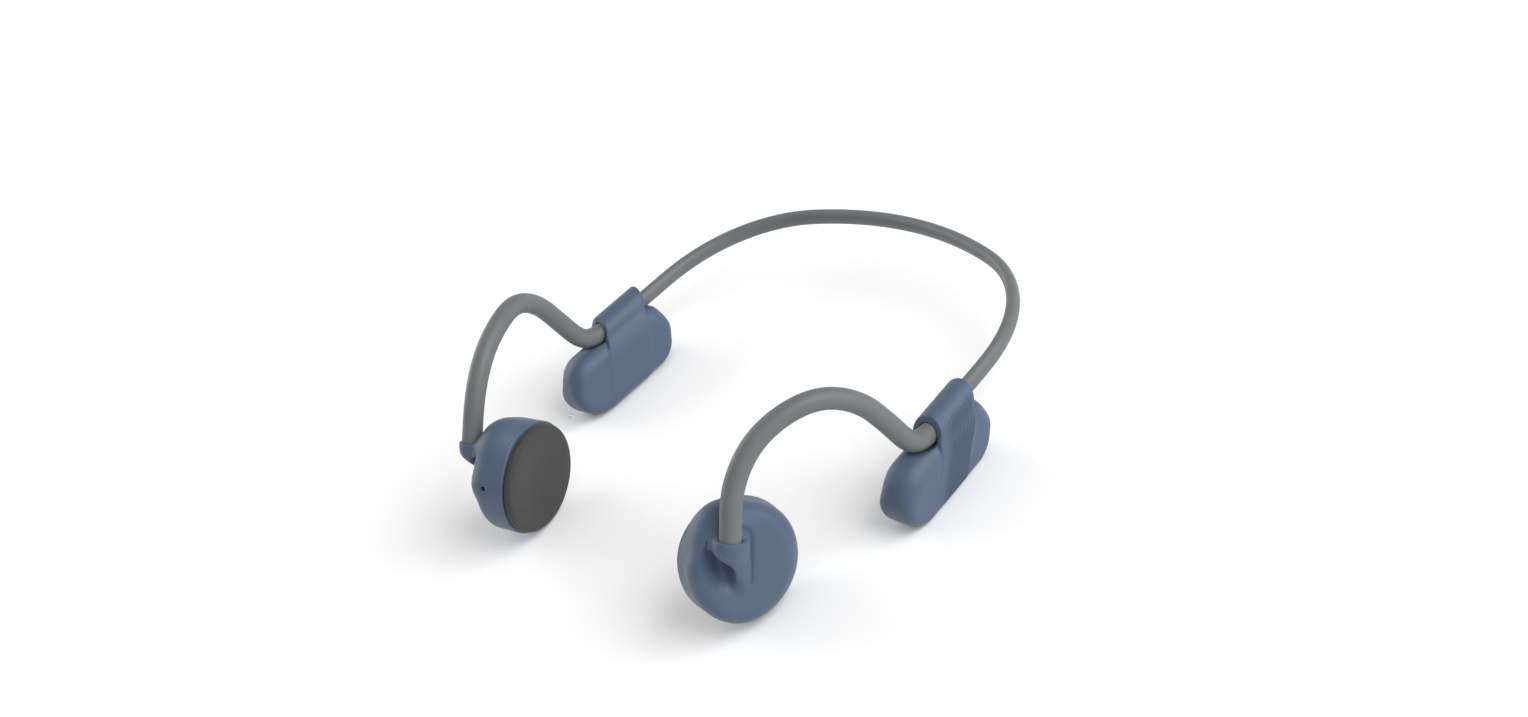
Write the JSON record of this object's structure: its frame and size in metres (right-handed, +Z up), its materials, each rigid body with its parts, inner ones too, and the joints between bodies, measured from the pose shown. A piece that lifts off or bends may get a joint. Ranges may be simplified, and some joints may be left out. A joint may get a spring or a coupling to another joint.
{
  "type": "bone conduction headphones",
  "caption": "Wireless bone conduction headphones: a thin neckband, ear hooks, slab pods behind the ears and round cheekbone transducers.",
  "frame": {"origin": "middle of the headset's footprint, on the surface it stands on", "axes": "+Z up, -Y forward from the neckband to the transducers, +X towards the wearer's left"},
  "size_m": [0.1194, 0.1168, 0.0441],
  "materials": {
    "band_silicone": "satin silicone",
    "case_blue": "soft-touch matte",
    "pad_grey": "matte silicone",
    "titanium_wire": "drawn",
    "lead_insulation": "smooth",
    "drive_plastic": "moulded",
    "coil_copper": "enamelled copper",
    "spring_steel": "etched",
    "yoke_nickel": "nickel plate",
    "board_green": "solder mask",
    "chip_black": "moulded epoxy",
    "switch_metal": "stamped",
    "button_blue": "soft-touch matte",
    "lens_clear": "clear",
    "antenna_copper": "copper foil",
    "battery_foil": "foil pouch",
    "socket_steel": "deep drawn",
    "flap_rubber": "matte",
    "mesh_black": "fine mesh"
  },
  "bodies": {
    "right_side": {"antenna_strip": "antenna_copper", "board_chips": "chip_black", "main_board": "board_green", "microphone": "switch_metal", "microphone_mesh": "mesh_black", "right_ear_hook_jacket": "band_silicone", "right_ear_hook_leads": "lead_insulation", "right_ear_hook_wire": "titanium_wire", "right_magnet_yoke": "yoke_nickel", "right_neckband_jacket": "band_silicone", "right_neckband_leads": "lead_insulation", "right_neckband_wire": "titanium_wire", "right_pod_inner_shell": "case_blue", "right_pod_outer_shell": "case_blue", "right_pole_plate": "yoke_nickel", "right_ring_magnet": "yoke_nickel", "right_suspension_spring": "spring_steel", "right_transducer_housing": "case_blue", "status_light_lens": "lens_clear", "tact_switches": "switch_metal"},
    "left_side": {"battery": "battery_foil", "charge_board": "board_green", "charging_socket": "socket_steel", "left_ear_hook_jacket": "band_silicone", "left_ear_hook_leads": "lead_insulation", "left_ear_hook_wire": "titanium_wire", "left_magnet_yoke": "yoke_nickel", "left_neckband_jacket": "band_silicone", "left_neckband_leads": "lead_insulation", "left_neckband_wire": "titanium_wire", "left_pod_inner_shell": "case_blue", "left_pod_outer_shell": "case_blue", "left_pole_plate": "yoke_nickel", "left_ring_magnet": "yoke_nickel", "left_suspension_spring": "spring_steel", "left_transducer_housing": "case_blue"},
    "volume_up_button": {"volume_up_button": "button_blue"},
    "volume_down_button": {"volume_down_button": "button_blue"},
    "charging_flap": {"charging_flap": "flap_rubber"},
    "right_pad": {"right_contact_pad": "pad_grey", "right_drive_plate": "drive_plastic", "right_voice_coil": "coil_copper"},
    "left_pad": {"left_contact_pad": "pad_grey", "left_drive_plate": "drive_plastic", "left_voice_coil": "coil_copper"}
  },
  "joints": [
    {"name": "neckband_spread", "type": "hinge", "parent": "right_side", "child": "left_side", "pos_m": [0, 0.05838, 0.0156], "axis": [0, 0, 1], "range_deg": [0, 35], "stiffness_Nm_per_rad": 0.22},
    {"name": "volume_up_press", "type": "slide", "parent": "right_side", "child": "volume_up_button", "axis": [-0.1561, 0.0109, 0.9877], "range_m": [0, 0.00035], "stiffness_N_per_m": 1500},
    {"name": "volume_down_press", "type": "slide", "parent": "right_side", "child": "volume_down_button", "axis": [-0.1561, 0.0109, 0.9877], "range_m": [0, 0.00035], "stiffness_N_per_m": 1500},
    {"name": "charging_flap_open", "type": "hinge", "parent": "left_side", "child": "charging_flap", "pos_m": [0.05273, -0.00204, 0.00039], "axis": [0.9853, 0.0689, -0.1564], "range_deg": [0, 100], "stiffness_Nm_per_rad": 0.0008},
    {"name": "right_pad_vibration", "type": "slide", "parent": "right_side", "child": "right_pad", "axis": [-0.9505, -0.2529, 0.1805], "range_m": [-0.0001, 0.0001], "stiffness_N_per_m": 6000},
    {"name": "left_pad_vibration", "type": "slide", "parent": "left_side", "child": "left_pad", "axis": [0.9505, -0.2529, 0.1805], "range_m": [-0.0001, 0.0001], "stiffness_N_per_m": 6000}
  ]
}
